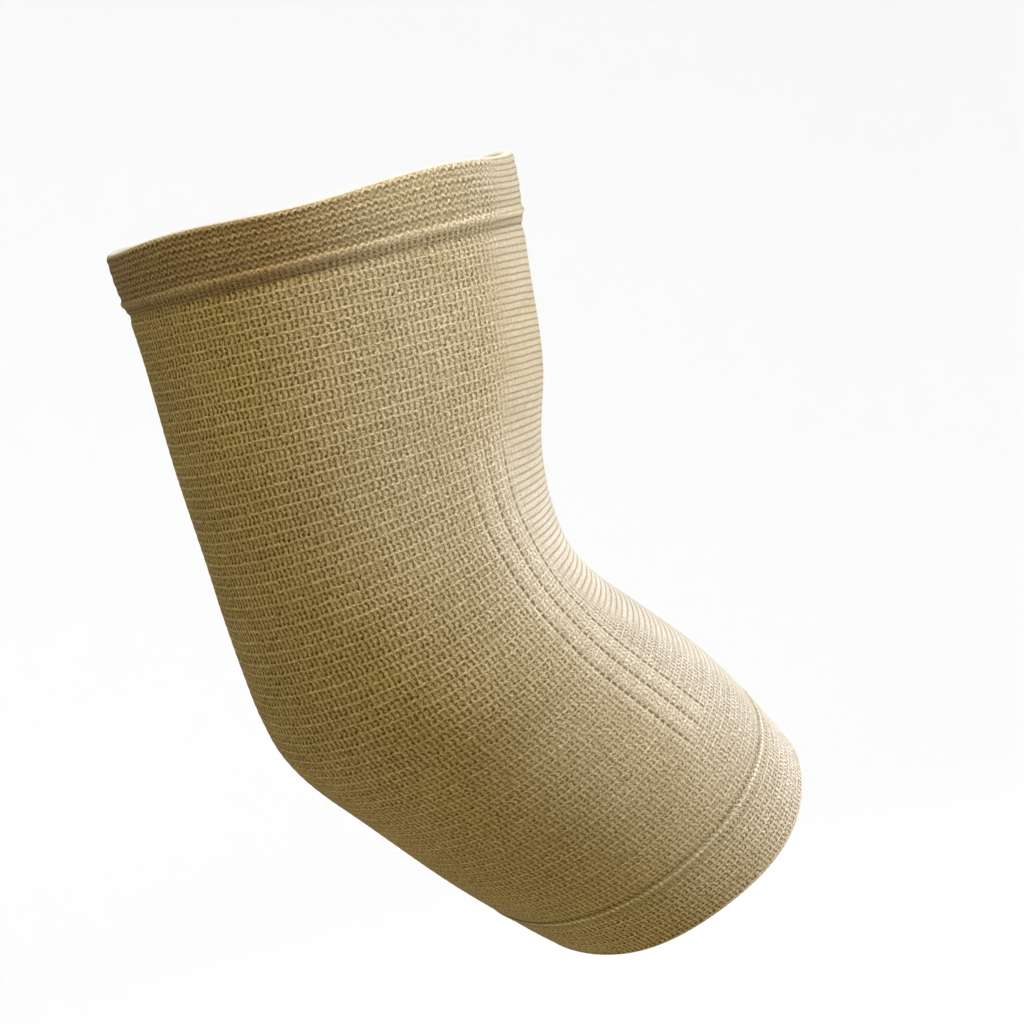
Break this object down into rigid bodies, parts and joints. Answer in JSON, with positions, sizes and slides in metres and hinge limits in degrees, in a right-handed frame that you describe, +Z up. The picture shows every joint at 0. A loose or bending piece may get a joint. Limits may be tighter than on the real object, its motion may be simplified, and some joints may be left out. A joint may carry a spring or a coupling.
{
  "type": "knitted elbow brace",
  "caption": "Bent knitted elastic sleeve for the elbow, open at both ends, with a doubled cuff, a turned hem and stitched ribs beside the crook.",
  "frame": {"origin": "elbow centre, on the sleeve's middle line halfway through its bend, where it sits on the arm", "axes": "+Z up the upper arm, +X to the side the forearm turns towards, Y across the elbow, with the part symmetric in Y"},
  "size_m": [0.1474, 0.0959, 0.2053],
  "materials": {
    "sleeve_knit": "tan elastic knit, fine courses, matt with a soft sheen",
    "cuff_knit": "tan elastic knit, doubled, matt, with paler stitches"
  },
  "bodies": {
    "root": {"upper_cuff": "cuff_knit", "knit_tube": "sleeve_knit", "forearm_cuff": "cuff_knit"}
  },
  "joints": []
}
